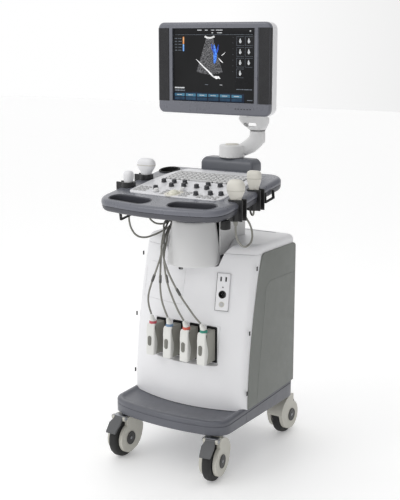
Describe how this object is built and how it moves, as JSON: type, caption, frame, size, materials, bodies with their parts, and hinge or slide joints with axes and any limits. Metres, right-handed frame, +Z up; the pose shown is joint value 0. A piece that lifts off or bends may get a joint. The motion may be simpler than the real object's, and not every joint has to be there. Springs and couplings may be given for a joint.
{
  "type": "ultrasound machine",
  "caption": "Cart-mounted medical ultrasound scanner with a tilted key console, monitor on a jointed arm, probes in rim cups, plug-in probe ports and four swivel casters.",
  "frame": {"origin": "on the floor, midway between the four caster swivel axes, which is within a few millimetres of the middle of the footprint", "axes": "+Z up, +Y from the operator's side to the back, +X to the operator's right"},
  "size_m": [0.465, 0.5822, 1.335],
  "materials": {
    "white_plastic": "fine-textured satin",
    "slate_plastic": "satin moulded",
    "grey_plastic": "matt moulded",
    "cream_plastic": "satin moulded",
    "black_plastic": "matt moulded",
    "key_plastic": "satin",
    "ball": "polished",
    "cable": "smooth jacket",
    "screen": "glossy display",
    "steel": "powder coated",
    "cage_metal": "bare sheet",
    "tyre": "matt tread, plastic hub"
  },
  "bodies": {
    "cart": {"chassis_frame": "steel", "base_cover": "slate_plastic", "front_cover": "white_plastic", "left_side_panel": "grey_plastic", "right_side_panel": "grey_plastic", "top_cover": "white_plastic", "rear_cover": "white_plastic", "mains_inlet": "black_plastic", "access_door": "white_plastic", "connector_bay": "white_plastic", "probe_connectors": "cream_plastic", "io_panel": "white_plastic", "power_supply": "cage_metal", "main_electronics": "cage_metal", "neck_column": "steel", "neck_front_cover": "white_plastic", "neck_rear_cover": "white_plastic", "neck_collar": "slate_plastic", "console_lower_shell": "slate_plastic", "console_upper_shell": "slate_plastic", "control_panel": "white_plastic", "gel_cup": "black_plastic", "left_probe_holders": "black_plastic", "right_probe_holders": "black_plastic", "cable_hooks": "black_plastic", "lock_knob": "black_plastic", "wide_probe": "white_plastic", "narrow_probe": "white_plastic", "convex_probe": "cream_plastic", "linear_probe": "cream_plastic", "wide_probe_cable": "cable", "narrow_probe_cable": "cable", "convex_probe_cable": "cable", "linear_probe_cable": "cable", "pedestal": "slate_plastic"},
    "alpha_keys": {"alpha_keys": "key_plastic"},
    "function_keys": {"function_keys": "key_plastic"},
    "encoder_knobs": {"encoder_knobs": "black_plastic"},
    "gain_knob": {"gain_knob": "black_plastic"},
    "depth_knob": {"depth_knob": "black_plastic"},
    "trackball": {"trackball": "ball"},
    "power_button": {"power_button": "white_plastic"},
    "arm": {"monitor_arm": "white_plastic"},
    "bracket": {"monitor_bracket": "cream_plastic"},
    "monitor": {"monitor_rear_shell": "white_plastic", "monitor_bezel": "slate_plastic", "screen": "screen"},
    "caster_fl": {"fork_fl": "cream_plastic"},
    "wheel_fl": {"wheel_fl": "tyre"},
    "caster_fr": {"fork_fr": "cream_plastic"},
    "wheel_fr": {"wheel_fr": "tyre"},
    "caster_rl": {"fork_rl": "cream_plastic"},
    "wheel_rl": {"wheel_rl": "tyre"},
    "caster_rr": {"fork_rr": "cream_plastic"},
    "wheel_rr": {"wheel_rr": "tyre"},
    "pedal_fl": {"pedal_fl": "grey_plastic"},
    "pedal_fr": {"pedal_fr": "grey_plastic"}
  },
  "joints": [
    {"name": "power_button_press", "type": "slide", "parent": "cart", "child": "power_button", "axis": [-0.2183, 0.9454, -0.2419], "range_m": [0, 0.0015], "stiffness_N_per_m": 400, "springref_m": -0.001},
    {"name": "alpha_keys_press", "type": "slide", "parent": "cart", "child": "alpha_keys", "axis": [0, 0.1495, -0.9888], "range_m": [0, 0.0025], "stiffness_N_per_m": 1500, "springref_m": -0.001},
    {"name": "function_keys_press", "type": "slide", "parent": "cart", "child": "function_keys", "axis": [0, 0.1495, -0.9888], "range_m": [0, 0.0025], "stiffness_N_per_m": 800, "springref_m": -0.001},
    {"name": "encoder_knobs_press", "type": "slide", "parent": "cart", "child": "encoder_knobs", "axis": [0, 0.1495, -0.9888], "range_m": [0, 0.0015], "stiffness_N_per_m": 800, "springref_m": -0.001},
    {"name": "gain_knob_turn", "type": "hinge", "parent": "cart", "child": "gain_knob", "pos_m": [-0.087, -0.14612, 0.84095], "axis": [0, -0.1495, 0.9888], "continuous": true},
    {"name": "depth_knob_turn", "type": "hinge", "parent": "cart", "child": "depth_knob", "pos_m": [-0.105, -0.07691, 0.85142], "axis": [0, -0.1495, 0.9888], "continuous": true},
    {"name": "trackball_spin", "type": "hinge", "parent": "cart", "child": "trackball", "pos_m": [-0.007, -0.16713, 0.83272], "axis": [1, 0, 0], "continuous": true},
    {"name": "arm_swivel", "type": "hinge", "parent": "cart", "child": "arm", "pos_m": [0, 0.15, 0.93], "axis": [0, 0, 1], "range_deg": [-90, 60]},
    {"name": "bracket_swivel", "type": "hinge", "parent": "arm", "child": "bracket", "pos_m": [0.063, 0.203, 1.005], "axis": [0, 0, 1], "range_deg": [-60, 60]},
    {"name": "monitor_tilt", "type": "hinge", "parent": "bracket", "child": "monitor", "pos_m": [-0.025, 0.15, 1.085], "axis": [1, 0, 0], "range_deg": [-20, 5]},
    {"name": "caster_fl_swivel", "type": "hinge", "parent": "cart", "child": "caster_fl", "pos_m": [-0.165, -0.199, 0.15], "axis": [0, 0, 1], "continuous": true},
    {"name": "wheel_fl_spin", "type": "hinge", "parent": "caster_fl", "child": "wheel_fl", "pos_m": [-0.165, -0.224, 0.0625], "axis": [1, 0, 0], "continuous": true},
    {"name": "caster_fr_swivel", "type": "hinge", "parent": "cart", "child": "caster_fr", "pos_m": [0.165, -0.199, 0.15], "axis": [0, 0, 1], "continuous": true},
    {"name": "wheel_fr_spin", "type": "hinge", "parent": "caster_fr", "child": "wheel_fr", "pos_m": [0.16891, -0.22369, 0.0625], "axis": [0.9877, 0.1564, 0], "continuous": true},
    {"name": "caster_rl_swivel", "type": "hinge", "parent": "cart", "child": "caster_rl", "pos_m": [-0.165, 0.199, 0.15], "axis": [0, 0, 1], "continuous": true},
    {"name": "wheel_rl_spin", "type": "hinge", "parent": "caster_rl", "child": "wheel_rl", "pos_m": [-0.165, 0.224, 0.0625], "axis": [-1, 0, 0], "continuous": true},
    {"name": "caster_rr_swivel", "type": "hinge", "parent": "cart", "child": "caster_rr", "pos_m": [0.165, 0.199, 0.15], "axis": [0, 0, 1], "continuous": true},
    {"name": "wheel_rr_spin", "type": "hinge", "parent": "caster_rr", "child": "wheel_rr", "pos_m": [0.165, 0.224, 0.0625], "axis": [-1, 0, 0], "continuous": true},
    {"name": "pedal_fl_press", "type": "hinge", "parent": "caster_fl", "child": "pedal_fl", "pos_m": [-0.165, -0.245, 0.129], "axis": [1, 0, 0], "range_deg": [0, 5]},
    {"name": "pedal_fr_press", "type": "hinge", "parent": "caster_fr", "child": "pedal_fr", "pos_m": [0.1722, -0.24443, 0.129], "axis": [0.9877, 0.1564, 0], "range_deg": [0, 5]}
  ]
}
